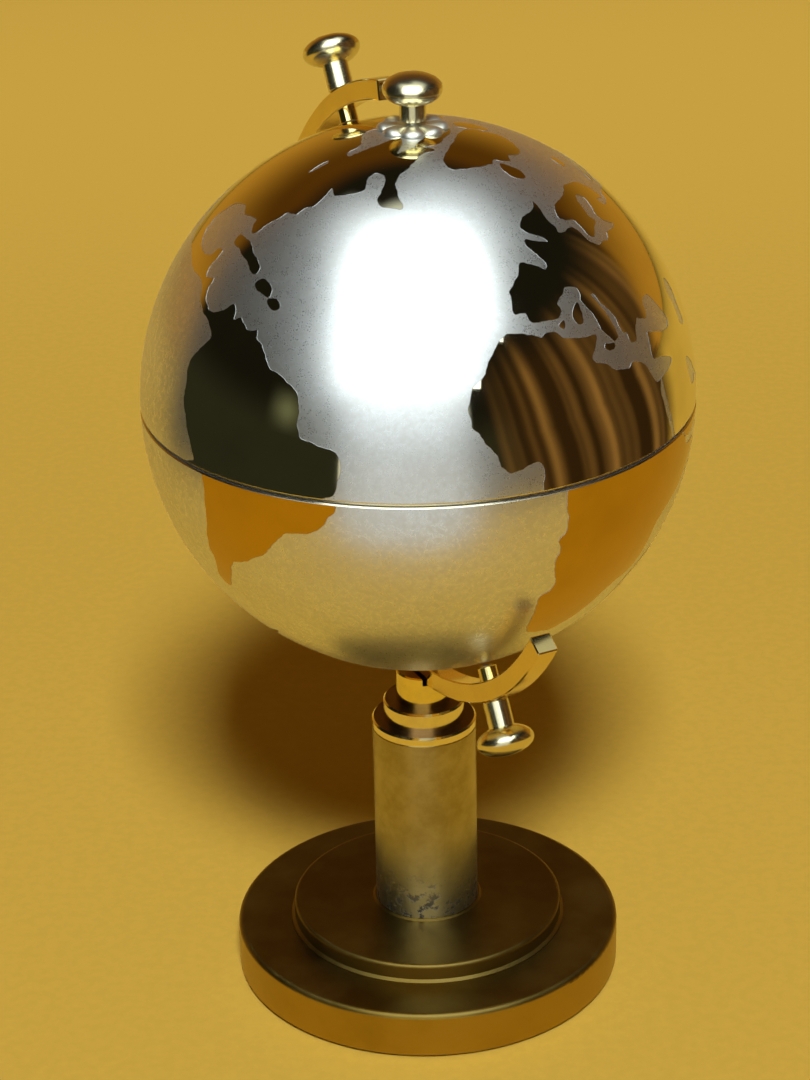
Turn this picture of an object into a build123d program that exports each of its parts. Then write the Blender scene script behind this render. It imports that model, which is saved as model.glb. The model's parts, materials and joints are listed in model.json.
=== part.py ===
from build123d import *

import math
import os

# Desk globe: two metal half globes on a stepped stand, inside a C-shaped meridian arm.
# Millimetres, +Z up. The origin is the middle of the underside, on the stand's axis.
# The front is -Y. Each function returns one separate piece of the object.

# ---- driving dimensions ----
GLOBE_R = 50.0
WALL = 1.0
GLOBE_Z = 118.5
SEAM_GAP = 0.3
LID_BEVEL, LID_BEVEL_H, BOWL_BEVEL = 0.2, 0.55, 0.2

FELT_R, FELT_H = 35.6, 0.6
BASE_R, BASE_TOP, BASE_ROUND = 37.0, 9.6, 1.1
WELL_R, WELL_TOP = 9.0, 5.6
TIER_R, TIER_TOP, TIER_ROUND = 26.0, 13.3, 0.7
TIER_BEAD, TIER_BEAD_H = 0.6, 0.7
SEAT_RISE, SEAT_EDGE, SEAT_SLOPE = 0.3, 0.3, 0.4

COLUMN_R, COLUMN_WALL, COLUMN_INSET = 9.9, 1.0, 0.05
PLUG_H = 5.5
CAP_TOP, CAP_BAND, CAP_GROOVE, GROOVE_DEPTH = 52.9, 1.6, 0.3, 0.4
STEP_R, STEP_TOP = 7.7, 56.7
NECK_R, NECK_TOP = 5.2, 63.0
SPIGOT_R, SPIGOT_FOOT = 4.0, 46.0
EDGE, NECK_EDGE = 0.35, 0.25

ARM_IN, ARM_OUT, ARM_WIDTH, ARM_EDGE = 53.2, 56.9, 4.0, 0.22
ARM_START, ARM_END = 9.7, 237.0
ARM_AZIMUTH = 116.9
SLOT_WIDTH = 5.0

PIN_TILT = 29.9
PIN_ROD_R, PIN_TIP_GAP, PIN_TIP_ROUND = 1.1, 0.35, 0.4
COLLAR_R, COLLAR_FOOT, COLLAR_EDGE = 1.75, 50.65, 0.2
PIN_FOOT = 56.97
PIN_SHANK, PIN_BORE = 4.8, 3.6
SHANK_R, HEAD_R, DOME_H, BELLY_H = 2.35, 5.3, 2.7, 3.0
OVAL_SPANS = 6

ROSETTE_R, ROSETTE_T, ROSETTE_LOBES, LOBE_OVERLAP = 6.4, 1.0, 8, 0.75
KNOB_FOOT = GLOBE_R + ROSETTE_T
KNOB_SHANK, KNOB_BORE = 3.0, 4.0

TIE_R, TIE_FOOT, TIE_TOP, TIE_EDGE = 2.0, 1.4, 54.6, 0.3
TIE_HOLE_TOP = 55.0
WASHER_R, WASHER_T = 6.0, 0.6
NUT_FLATS, NUT_H = 7.0, 3.2
STUD_R, STUD_FOOT = 1.25, 45.2
LID_WASHER_R, LID_WASHER_T, LID_WASHER_TOP = 4.0, 0.65, 48.8
LID_NUT_FLATS, LID_NUT_H = 5.0, 2.0
NUT_ROUND = 1.12

PIVOT_R, PIVOT_THREAD_R = 1.6, 1.25
THREAD_HOLE, THREAD_FOOT = 56.6, 57.0
SPACER_R = 2.5
SCREW_HEAD_R, SCREW_HEAD_H, SCREW_HEAD_ROUND = 3.3, 1.6, 0.5
DRIVER_SLOT_W, DRIVER_SLOT_H = 0.8, 0.7
BOSS_R, BOSS_FLANGE_R, BOSS_FLANGE_T = 4.0, 6.4, 0.9
FLANGE_DEPTH, BOSS_DEPTH = 48.45, 46.5
PIVOT_WASHER_R, PIVOT_WASHER_T = 3.6, 0.6

RING_OUT, RING_IN, RING_EDGE = 48.85, 48.0, 0.3
RING_DOWN, RING_UP = 3.0, 2.5

RUN_FIT = 0.05
FIT = 0.02
CLEAR = 0.1
THROUGH = 2.0
STUD_HOLE_R = STUD_R + FIT


def turned(*points):
    """A solid of revolution about Z from (radius, height) corners."""
    outline = Polyline(*[(r, 0, z) for r, z in points], close=True)
    return revolve(make_face(outline), Axis.Z)


def tube(r_out, r_in, z_low, z_high):
    return turned((r_in, z_low), (r_out, z_low), (r_out, z_high), (r_in, z_high))


def rod(radius, z_low, z_high):
    return turned((0, z_low), (radius, z_low), (radius, z_high), (0, z_high))


def circle_edges(solid, radius, z):
    """The circular edges of one radius at one height."""
    found = solid.edges().filter_by(GeomType.CIRCLE)
    return [e for e in found if abs(e.radius - radius) < 0.01 and abs(e.center().Z - z) < 0.01]


def hex_nut(across_flats, bore, z_low, z_high):
    blank = extrude(RegularPolygon(across_flats / 2, 6, major_radius=False), z_high - z_low)
    blank = Pos(0, 0, z_low) * blank
    round_corners = rod(across_flats / 2 * NUT_ROUND, z_low, z_high)
    return blank & round_corners - rod(bore, z_low - THROUGH, z_high + THROUGH)


# ---- the stand ----

def base_felt():
    return rod(FELT_R, 0, FELT_H)


def base_disc():
    """Thick round base, with a well underneath for the nut and washer."""
    body = rod(BASE_R, FELT_H, BASE_TOP)
    body = fillet(circle_edges(body, BASE_R, BASE_TOP), BASE_ROUND)
    body = chamfer(circle_edges(body, BASE_R, FELT_H), EDGE)
    well = rod(WELL_R, FELT_H - THROUGH, WELL_TOP)
    return body - well - rod(TIE_R + FIT, 0, BASE_TOP + THROUGH)


def base_washer():
    return tube(WASHER_R, TIE_R + FIT, WELL_TOP - WASHER_T, WELL_TOP)


def base_nut():
    top = WELL_TOP - WASHER_T
    return hex_nut(NUT_FLATS, TIE_R + FIT, top - NUT_H, top)


def tie_rod():
    return chamfer(rod(TIE_R, TIE_FOOT, TIE_TOP).edges().filter_by(GeomType.CIRCLE), TIE_EDGE)


def tier_disc():
    """Thin upper disc, with a bead round its foot and a low seat for the column."""
    seat_r = COLUMN_R + SEAT_EDGE
    body = turned(
        (0, BASE_TOP),
        (TIER_R + TIER_BEAD, BASE_TOP),
        (TIER_R + TIER_BEAD, BASE_TOP + TIER_BEAD_H * 0.4),
        (TIER_R, BASE_TOP + TIER_BEAD_H),
        (TIER_R, TIER_TOP),
        (seat_r + SEAT_SLOPE, TIER_TOP),
        (seat_r, TIER_TOP + SEAT_RISE),
        (0, TIER_TOP + SEAT_RISE),
    )
    body = fillet(circle_edges(body, TIER_R, TIER_TOP), TIER_ROUND)
    return body - rod(TIE_R + FIT, BASE_TOP - THROUGH, TIER_TOP + THROUGH)


def column_tube():
    top = CAP_TOP - CAP_BAND - CAP_GROOVE
    return tube(COLUMN_R - COLUMN_INSET, COLUMN_R - COLUMN_WALL, TIER_TOP + SEAT_RISE, top)


def column_foot_plug():
    foot = TIER_TOP + SEAT_RISE
    return tube(COLUMN_R - COLUMN_WALL - FIT, TIE_R + FIT, foot, foot + PLUG_H)


def column_cap():
    """Polished end cap, with a plug that enters the tube and a fine groove under the band."""
    band_low = CAP_TOP - CAP_BAND
    groove_low = band_low - CAP_GROOVE
    groove_r = COLUMN_R - GROOVE_DEPTH
    plug_r = COLUMN_R - COLUMN_WALL - FIT
    plug_foot = SPIGOT_FOOT + 1
    bore = SPIGOT_R + FIT
    body = turned(
        (bore, plug_foot),
        (plug_r, plug_foot),
        (plug_r, groove_low),
        (groove_r, groove_low),
        (groove_r, band_low),
        (COLUMN_R, band_low),
        (COLUMN_R, CAP_TOP),
        (bore, CAP_TOP),
    )
    return chamfer(circle_edges(body, COLUMN_R, CAP_TOP), EDGE)


def step_collar():
    body = tube(STEP_R, SPIGOT_R + FIT, CAP_TOP, STEP_TOP)
    return chamfer(circle_edges(body, STEP_R, STEP_TOP), EDGE)


def neck_post():
    """Post with a long spigot below, and a cross slot above that holds the arm."""
    body = turned(
        (0, SPIGOT_FOOT),
        (SPIGOT_R, SPIGOT_FOOT),
        (SPIGOT_R, STEP_TOP),
        (NECK_R, STEP_TOP),
        (NECK_R, NECK_TOP),
        (0, NECK_TOP),
    )
    body = chamfer(circle_edges(body, NECK_R, NECK_TOP), NECK_EDGE)
    slot_floor = GLOBE_Z - ARM_OUT - FIT
    slot_h = 2 * (NECK_TOP - slot_floor)
    slot = Pos(0, 0, slot_floor + slot_h / 2) * Box(4 * NECK_R, SLOT_WIDTH, slot_h)
    body -= Rot(0, 0, ARM_AZIMUTH) * slot
    body -= rod(TIE_R + FIT, SPIGOT_FOOT - THROUGH, TIE_HOLE_TOP)
    return body - rod(PIVOT_THREAD_R + FIT, THREAD_HOLE, NECK_TOP)


# ---- the meridian arm, drawn in the XZ plane and then turned to its azimuth ----

def arm_point(radius, angle):
    """A point of the arm's plane, its angle counted from the zenith."""
    a = math.radians(angle)
    return (radius * math.sin(a), 0, radius * math.cos(a))


def arm_place(shape):
    return Pos(0, 0, GLOBE_Z) * Rot(0, 0, ARM_AZIMUTH) * shape


def along_pin(shape, tilt):
    """A shape drawn along +Z from the globe's middle, laid along a pin's axis."""
    return arm_place(Rot(0, tilt, 0) * shape)


def meridian_arm():
    """Square bar bent round the globe, bored for the two pins and for the pivot screw."""
    middle = (ARM_START + ARM_END) / 2
    outer = ThreePointArc(*[arm_point(ARM_OUT, a) for a in (ARM_START, middle, ARM_END)])
    inner = ThreePointArc(*[arm_point(ARM_IN, a) for a in (ARM_START, middle, ARM_END)])
    ends = [Line(arm_point(ARM_IN, a), arm_point(ARM_OUT, a)) for a in (ARM_START, ARM_END)]
    face = make_face([outer, inner] + ends)
    bar = extrude(face, amount=ARM_WIDTH / 2, dir=(0, 1, 0), both=True)
    bar = chamfer(bar.edges(), ARM_EDGE)
    for turn, radius in (
        (PIN_TILT, PIN_ROD_R + RUN_FIT), (PIN_TILT + 180, PIN_ROD_R + RUN_FIT), (180, PIVOT_THREAD_R + FIT),
    ):
        bar -= Rot(0, turn, 0) * rod(radius, ARM_IN - THROUGH, ARM_OUT + THROUGH)
    return arm_place(bar)


def pin_collar(tilt):
    """Guide bush under the arm, that the pin's rod runs in."""
    body = tube(COLLAR_R, PIN_ROD_R + RUN_FIT, COLLAR_FOOT, ARM_IN - FIT)
    body = chamfer(circle_edges(body, COLLAR_R, COLLAR_FOOT), COLLAR_EDGE)
    return along_pin(body, tilt)


# ---- turned knobs with an oval head ----

def oval_arc(middle, height, start, end):
    """Part of an oval with its middle on the axis, from one angle above the horizontal to another."""
    def point(angle):
        return (HEAD_R * math.cos(angle), 0, middle + height * math.sin(angle))

    def heading(angle):
        return (-HEAD_R * math.sin(angle), 0, height * math.cos(angle))

    points = [point(start + (end - start) * i / OVAL_SPANS) for i in range(OVAL_SPANS + 1)]
    return Spline(*points, tangents=(heading(start), heading(end)))


def oval_knob(foot, shank, bore, bore_depth):
    """Straight shank and an oval head, with a blind hole in the foot. The shank cuts off the belly."""
    junction = math.acos(SHANK_R / HEAD_R)
    widest = foot + shank + BELLY_H * math.sin(junction)
    belly = oval_arc(widest, BELLY_H, -junction, 0)
    dome = oval_arc(widest, DOME_H, 0, math.pi / 2)
    shank_lines = Polyline(dome @ 1, (0, 0, foot), (SHANK_R, 0, foot), belly @ 0)
    body = revolve(make_face([belly, dome, shank_lines]), Axis.Z)
    return body - rod(bore + FIT, foot - THROUGH, foot + bore_depth)


def pin_knob(tilt):
    return along_pin(oval_knob(PIN_FOOT, PIN_SHANK, PIN_ROD_R, PIN_BORE), tilt)


def pin_rod(tilt):
    """Pin that stops just short of the globe, with its outer end in the knob."""
    tip = GLOBE_R + PIN_TIP_GAP
    body = rod(PIN_ROD_R, tip, PIN_FOOT + PIN_BORE - CLEAR)
    body = fillet(circle_edges(body, PIN_ROD_R, tip), PIN_TIP_ROUND)
    return along_pin(body, tilt)


# ---- the pivot that the globe turns on ----

SHOULDER_FOOT = GLOBE_Z - ARM_IN + FIT
SCREW_HEAD_FOOT = GLOBE_Z - BOSS_DEPTH + PIVOT_WASHER_T + RUN_FIT + CLEAR


def pivot_spacer():
    """Short sleeve between the arm and the bottom of the bowl."""
    return tube(SPACER_R, PIVOT_R + FIT, SHOULDER_FOOT + RUN_FIT, GLOBE_Z - GLOBE_R - CLEAR)


def pivot_screw():
    """Shoulder screw: a thread into the neck, a shoulder through the boss, a slotted head."""
    head_top = SCREW_HEAD_FOOT + SCREW_HEAD_H
    body = turned(
        (0, THREAD_FOOT),
        (PIVOT_THREAD_R, THREAD_FOOT),
        (PIVOT_THREAD_R, SHOULDER_FOOT),
        (PIVOT_R, SHOULDER_FOOT),
        (PIVOT_R, SCREW_HEAD_FOOT),
        (SCREW_HEAD_R, SCREW_HEAD_FOOT),
        (SCREW_HEAD_R, head_top),
        (0, head_top),
    )
    body = fillet(circle_edges(body, SCREW_HEAD_R, head_top), SCREW_HEAD_ROUND)
    return body - Pos(0, 0, head_top) * Box(3 * SCREW_HEAD_R, DRIVER_SLOT_W, 2 * DRIVER_SLOT_H)


def pivot_washer():
    foot = GLOBE_Z - BOSS_DEPTH + RUN_FIT
    return tube(PIVOT_WASHER_R, PIVOT_R + RUN_FIT, foot, foot + PIVOT_WASHER_T)


def bowl_boss():
    """Flanged brass bush in the bottom of the bowl."""
    foot = GLOBE_Z - GLOBE_R
    flange_low = GLOBE_Z - FLANGE_DEPTH
    flange_high = flange_low + BOSS_FLANGE_T
    top = GLOBE_Z - BOSS_DEPTH
    bore = PIVOT_R + RUN_FIT
    return turned(
        (bore, foot),
        (BOSS_R, foot),
        (BOSS_R, flange_low),
        (BOSS_FLANGE_R, flange_low),
        (BOSS_FLANGE_R, flange_high),
        (BOSS_R, flange_high),
        (BOSS_R, top),
        (bore, top),
    )


# ---- the two half globes ----

def half_globe(hole, bevel, bevel_h, top):
    """Spun shell from its bevelled rim at the seam to a hole at its pole, upper or lower half."""
    def sphere_point(radius, z):
        return (math.sqrt(radius * radius - z * z), 0, z)

    def pole_point(radius):
        return (hole, 0, math.sqrt(radius * radius - hole * hole))

    rim = SEAM_GAP / 2
    inside = GLOBE_R - WALL
    half_way = math.sin(math.pi / 4)
    shoulder = sphere_point(GLOBE_R, rim + bevel_h)
    foot = (shoulder[0] - bevel, 0, rim)
    lip = sphere_point(inside, rim)
    outline = [
        ThreePointArc(shoulder, sphere_point(GLOBE_R, GLOBE_R * half_way), pole_point(GLOBE_R)),
        Line(pole_point(GLOBE_R), pole_point(inside)),
        ThreePointArc(pole_point(inside), sphere_point(inside, inside * half_way), lip),
        Line(lip, foot),
        Line(foot, shoulder),
    ]
    shell = revolve(make_face(outline), Axis.Z)
    if not top:
        shell = Rot(180, 0, 0) * shell
    return Pos(0, 0, GLOBE_Z) * shell


def bowl():
    return half_globe(BOSS_R + FIT, BOWL_BEVEL, BOWL_BEVEL, top=False)


def bowl_rim_ring():
    """Soldered guide ring that stands up inside the lid."""
    body = tube(RING_OUT, RING_IN, GLOBE_Z - RING_DOWN, GLOBE_Z + RING_UP)
    return chamfer(circle_edges(body, RING_OUT, GLOBE_Z + RING_UP), RING_EDGE)


def lid():
    return half_globe(STUD_HOLE_R, LID_BEVEL, LID_BEVEL_H, top=True)


def lid_rosette():
    """Thin dished washer with a lobed edge, that lies on the crown of the lid."""
    foot_r = GLOBE_R + FIT
    body = Sphere(foot_r + ROSETTE_T) - Sphere(foot_r)
    petal = ROSETTE_R * math.sin(math.pi / ROSETTE_LOBES)
    plan = Circle(ROSETTE_R - petal * LOBE_OVERLAP)
    for spot in PolarLocations(ROSETTE_R - petal, ROSETTE_LOBES):
        plan += spot * Circle(petal)
    plan -= Circle(STUD_HOLE_R)
    body &= Pos(0, 0, GLOBE_R - THROUGH) * extrude(plan, 2 * THROUGH)
    return Pos(0, 0, GLOBE_Z) * body


def lid_knob():
    return Pos(0, 0, GLOBE_Z) * oval_knob(KNOB_FOOT + FIT, KNOB_SHANK, STUD_R, KNOB_BORE)


def lid_stud():
    return rod(STUD_R, GLOBE_Z + STUD_FOOT, GLOBE_Z + KNOB_FOOT + KNOB_BORE - CLEAR)


def lid_washer():
    top = GLOBE_Z + LID_WASHER_TOP
    return tube(LID_WASHER_R, STUD_HOLE_R, top - LID_WASHER_T, top)


def lid_nut():
    top = GLOBE_Z + LID_WASHER_TOP - LID_WASHER_T
    return hex_nut(LID_NUT_FLATS, STUD_HOLE_R, top - LID_NUT_H, top)


PIECES = {
    "base_felt": base_felt(),
    "base_disc": base_disc(),
    "base_washer": base_washer(),
    "base_nut": base_nut(),
    "tie_rod": tie_rod(),
    "tier_disc": tier_disc(),
    "column_foot_plug": column_foot_plug(),
    "column_tube": column_tube(),
    "column_cap": column_cap(),
    "step_collar": step_collar(),
    "neck_post": neck_post(),
    "meridian_arm": meridian_arm(),
    "upper_pin_collar": pin_collar(PIN_TILT),
    "lower_pin_collar": pin_collar(PIN_TILT + 180),
    "pivot_spacer": pivot_spacer(),
    "pivot_screw": pivot_screw(),
    "pivot_washer": pivot_washer(),
    "bowl_boss": bowl_boss(),
    "bowl": bowl(),
    "bowl_rim_ring": bowl_rim_ring(),
    "lid": lid(),
    "lid_rosette": lid_rosette(),
    "lid_knob": lid_knob(),
    "lid_stud": lid_stud(),
    "lid_washer": lid_washer(),
    "lid_nut": lid_nut(),
    "upper_pin_knob": pin_knob(PIN_TILT),
    "upper_pin_rod": pin_rod(PIN_TILT),
    "lower_pin_knob": pin_knob(PIN_TILT + 180),
    "lower_pin_rod": pin_rod(PIN_TILT + 180),
}

os.makedirs("parts", exist_ok=True)
for name, piece in PIECES.items():
    export_step(piece, f"parts/{name}.step")
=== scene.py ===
"""Looks of the desk globe: an etched map on two half globes, and the finishes of the stand and fittings."""

import json
import math

import bpy
import numpy as np
from mathutils import Matrix, Vector, noise
from mathutils.geometry import delaunay_2d_cdt


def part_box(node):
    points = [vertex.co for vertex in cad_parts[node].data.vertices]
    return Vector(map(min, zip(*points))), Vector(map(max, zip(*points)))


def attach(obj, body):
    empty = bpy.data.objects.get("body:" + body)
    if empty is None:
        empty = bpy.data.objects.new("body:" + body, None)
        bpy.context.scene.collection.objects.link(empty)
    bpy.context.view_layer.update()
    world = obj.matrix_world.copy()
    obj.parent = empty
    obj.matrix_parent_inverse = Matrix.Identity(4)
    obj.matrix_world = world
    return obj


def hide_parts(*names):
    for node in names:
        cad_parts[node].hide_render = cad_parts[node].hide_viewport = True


MM = 0.001
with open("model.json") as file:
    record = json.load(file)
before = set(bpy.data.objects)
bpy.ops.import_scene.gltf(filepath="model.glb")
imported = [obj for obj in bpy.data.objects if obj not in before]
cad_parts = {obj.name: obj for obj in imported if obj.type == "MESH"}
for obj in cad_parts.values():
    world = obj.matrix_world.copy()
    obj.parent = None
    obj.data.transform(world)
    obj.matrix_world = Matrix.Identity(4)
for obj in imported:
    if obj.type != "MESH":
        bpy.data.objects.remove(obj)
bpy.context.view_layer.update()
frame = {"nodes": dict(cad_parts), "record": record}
record = frame["record"]
CENTRE = Vector(next(j["pos_m"] for j in record["behaviour"]["joints"] if j["name"] == "globe_turn"))


# ---- camera ----

def make_camera():
    data = bpy.data.cameras.new("camera")
    data.sensor_width = 36.0
    data.lens = 96.64
    data.clip_start, data.clip_end = 0.01, 50.0
    camera = bpy.data.objects.new("camera", data)
    turn = Matrix.Rotation(math.radians(0.342), 4, "Z")
    tilt = Matrix.Rotation(math.radians(65.061), 4, "X")
    roll = Matrix.Rotation(math.radians(-1.215), 4, "Z")
    place = Matrix.Translation(CENTRE + Vector((0.0, -0.48545, 0.19667)))
    camera.matrix_world = place @ turn @ tilt @ roll
    bpy.context.scene.collection.objects.link(camera)
    bpy.context.scene.camera = camera


# ---- node helpers ----

class Nodes:
    """Short calls for building a node tree."""

    def __init__(self, tree):
        self.tree = tree
        tree.nodes.clear()

    def add(self, kind, **values):
        node = self.tree.nodes.new(kind)
        for name, value in values.items():
            setattr(node, name, value)
        return node

    def link(self, source, target):
        self.tree.links.new(source, target)

    def math(self, operation, a, b=0.0):
        node = self.add("ShaderNodeMath", operation=operation)
        for socket, value in zip(node.inputs, (a, b)):
            self.feed(socket, value)
        return node.outputs[0]

    def feed(self, socket, value):
        if hasattr(value, "is_output"):
            self.tree.links.new(value, socket)
        else:
            socket.default_value = value

    def ramp(self, value, low, high, to_low=0.0, to_high=1.0):
        """Smooth step of value from low to high."""
        node = self.add("ShaderNodeMapRange", interpolation_type="SMOOTHSTEP")
        names = ("Value", "From Min", "From Max", "To Min", "To Max")
        for name, v in zip(names, (value, low, high, to_low, to_high)):
            self.feed(node.inputs[name], v)
        return node.outputs["Result"]

    def mix(self, factor, a, b):
        node = self.add("ShaderNodeMix", data_type="RGBA")
        for name, v in (("Factor", factor), ("A", a), ("B", b)):
            sockets = [s for s in node.inputs if s.name == name and s.enabled]
            self.feed(sockets[0], v)
        return next(s for s in node.outputs if s.enabled)

    def scaled(self, vector, scale):
        node = self.add("ShaderNodeVectorMath", operation="MULTIPLY")
        self.feed(node.inputs[0], vector)
        node.inputs[1].default_value = scale
        return node.outputs[0]

    def noise(self, vector, scale, detail=3.0, rough=0.5, stretch=None):
        if stretch:
            vector = self.scaled(vector, stretch)
        node = self.add("ShaderNodeTexNoise")
        self.feed(node.inputs["Vector"], vector)
        node.inputs["Scale"].default_value = scale
        node.inputs["Detail"].default_value = detail
        node.inputs["Roughness"].default_value = rough
        return node.outputs["Fac"]

    def bump(self, height, strength, distance, under=None):
        node = self.add("ShaderNodeBump")
        node.inputs["Strength"].default_value = strength
        node.inputs["Distance"].default_value = distance
        self.feed(node.inputs["Height"], height)
        if under is not None:
            self.feed(node.inputs["Normal"], under)
        return node.outputs["Normal"]

    def object_coordinates(self):
        return self.add("ShaderNodeTexCoord").outputs["Object"]

    def split(self, vector):
        node = self.add("ShaderNodeSeparateXYZ")
        self.feed(node.inputs[0], vector)
        return node.outputs

    def upward(self):
        """How far the surface faces up, from -1 to 1."""
        return self.split(self.add("ShaderNodeNewGeometry").outputs["Normal"])[2]


def rgb(r, g, b):
    return (r, g, b, 1.0)


def new_material(name):
    material = bpy.data.materials.new(name)
    material.use_nodes = True
    return material, Nodes(material.node_tree)


def finish_material(n, color, roughness, normal=None, metallic=1.0):
    shader = n.add("ShaderNodeBsdfPrincipled")
    n.feed(shader.inputs["Base Color"], color)
    n.feed(shader.inputs["Roughness"], roughness)
    shader.inputs["Metallic"].default_value = metallic
    if normal is not None:
        n.feed(shader.inputs["Normal"], normal)
    out = n.add("ShaderNodeOutputMaterial")
    n.link(shader.outputs[0], out.inputs["Surface"])
    return shader


# ---- stage ----

FLOOR = rgb(0.76, 0.52, 0.085)
# painted light: a brighter floor colour for the back of the floor, to even out the lamp's falloff
FLOOR_FAR_PAINTED_LIGHT = rgb(0.96, 0.67, 0.115)
BACKDROP = rgb(0.42, 0.29, 0.075)
DARK = rgb(0.009, 0.008, 0.005)
DIM = rgb(0.022, 0.022, 0.012)
WOOD_DARK, WOOD_PALE = rgb(0.030, 0.014, 0.004), rgb(0.30, 0.15, 0.040)
WALL_LEFT, WALL_RIGHT = -30, 20     # the pale wall in front, as directions in degrees from the globe
SHADE_NEAR, SHADE_FAR = 0.305, 9.0  # where the dark part of the table begins and ends
SWEEP_SOFT = 110, 122               # where the dark sides give way to the straw colour behind


def make_floor():
    """Straw-coloured floor that runs on behind the object, painted lighter towards the back to make up for the
    lamp's falloff.
    """
    material, n = new_material("pale_floor")
    at = n.object_coordinates()
    _, y, _ = n.split(at)
    cloth = n.noise(at, 420.0, 3.0, 0.6)
    pale = n.mix(n.ramp(cloth, 0.3, 0.7), FLOOR, tuple(0.95 * c for c in FLOOR))
    # painted light: the floor's colour brightens towards the back to even out the lamp's falloff
    pale = n.mix(n.ramp(y, 0.12, 0.70), pale, FLOOR_FAR_PAINTED_LIGHT)
    shader = finish_material(n, pale, 0.75, metallic=0.0)
    shader.inputs["Specular IOR Level"].default_value = 0.0
    mesh = bpy.data.meshes.new("floor")
    side, front_y, back_y = 3.0, -3.0, 4.0
    corners = [(-side, front_y, 0), (side, front_y, 0), (side, back_y, 0), (-side, back_y, 0)]
    mesh.from_pydata(corners, [], [(0, 1, 2, 3)])
    floor = bpy.data.objects.new("floor", mesh)
    floor.data.materials.append(material)
    bpy.context.scene.collection.objects.link(floor)


def room_sides(n, x, y, height):
    """The room beside and before the globe: its colour, how far behind it lies, and its azimuth."""
    azimuth = n.math("DEGREES", n.math("ARCTAN2", x, n.math("MULTIPLY", y, -1.0)))
    behind = n.math("ABSOLUTE", n.math("SUBTRACT", azimuth, 2.0))
    behind = n.math("SUBTRACT", behind, n.math("MULTIPLY", n.math("MAXIMUM", height, 0.0), 0.35))
    place = n.add("ShaderNodeCombineXYZ")
    n.feed(place.inputs[0], n.math("ADD", azimuth, n.math("MULTIPLY", height, 0.16)))
    streaks = n.ramp(n.noise(place.outputs[0], 0.11, 1.5, 0.45), 0.40, 0.78)
    wood = n.mix(streaks, WOOD_DARK, WOOD_PALE)
    wooded = n.math("MULTIPLY", n.ramp(azimuth, 24, 46), n.ramp(height, 41, 19))
    shade = n.mix(n.ramp(height, 14, -2), DARK, DIM)
    return n.mix(wooded, shade, wood), behind, azimuth


def reflected_sheet(name, corners, faces, material):
    """A glowing sheet that shows only in reflections."""
    mesh = bpy.data.meshes.new(name)
    mesh.from_pydata(corners, [], faces)
    mesh.materials.append(material)
    sheet = bpy.data.objects.new(name, mesh)
    sheet.visible_camera = sheet.visible_diffuse = sheet.visible_shadow = False
    bpy.context.scene.collection.objects.link(sheet)


def toward(azimuth, distance, height):
    """A point at a distance from the globe's axis, in a direction in degrees."""
    a = math.radians(azimuth)
    return Vector((distance * math.sin(a), -distance * math.cos(a), height))


def make_shade():
    """The dark part of the table at the front and sides. It shows only in reflections."""
    material, n = new_material("dark_table")
    x, y, _ = n.split(n.object_coordinates())
    reach = n.math("SQRT", n.math("ADD", n.math("MULTIPLY", x, x), n.math("MULTIPLY", y, y)))
    drop = n.math("ARCTANGENT", n.math("DIVIDE", CENTRE.z, reach))
    color, behind, _ = room_sides(n, x, y, n.math("MULTIPLY", n.math("DEGREES", drop), -1.0))
    glow = n.add("ShaderNodeEmission")
    n.feed(glow.inputs["Color"], color)
    blend = n.add("ShaderNodeMixShader")
    n.feed(blend.inputs[0], n.ramp(behind, *SWEEP_SOFT))
    n.link(glow.outputs[0], blend.inputs[1])
    n.link(n.add("ShaderNodeBsdfTransparent").outputs[0], blend.inputs[2])
    n.link(blend.outputs[0], n.add("ShaderNodeOutputMaterial").inputs["Surface"])
    steps, half_turn, lift = 60, 128, 0.0006
    corners = []
    for k in range(steps + 1):
        azimuth = half_turn * (2 * k / steps - 1)
        corners += [toward(azimuth, SHADE_NEAR, lift), toward(azimuth, SHADE_FAR, lift)]
    faces = [(2 * k, 2 * k + 1, 2 * k + 3, 2 * k + 2) for k in range(steps)]
    reflected_sheet("dark_table", corners, faces, material)


def make_card():
    """A pale sheet before the object, up to the foot of the pale wall. It shows only in reflections."""
    material, n = new_material("white_cloth")
    glow = n.add("ShaderNodeEmission")
    glow.inputs["Color"].default_value = rgb(0.66, 0.66, 0.62)
    n.link(glow.outputs[0], n.add("ShaderNodeOutputMaterial").inputs["Surface"])
    near, far, lift = 0.19, 0.60, 0.001
    far_height = CENTRE.z - far * math.tan(math.radians(2))
    corners = [toward(WALL_LEFT, near, lift), toward(WALL_RIGHT, near, lift)]
    corners += [toward(WALL_RIGHT, far, far_height), toward(WALL_LEFT, far, far_height)]
    reflected_sheet("white_cloth", corners, [(0, 1, 2, 3)], material)


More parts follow.
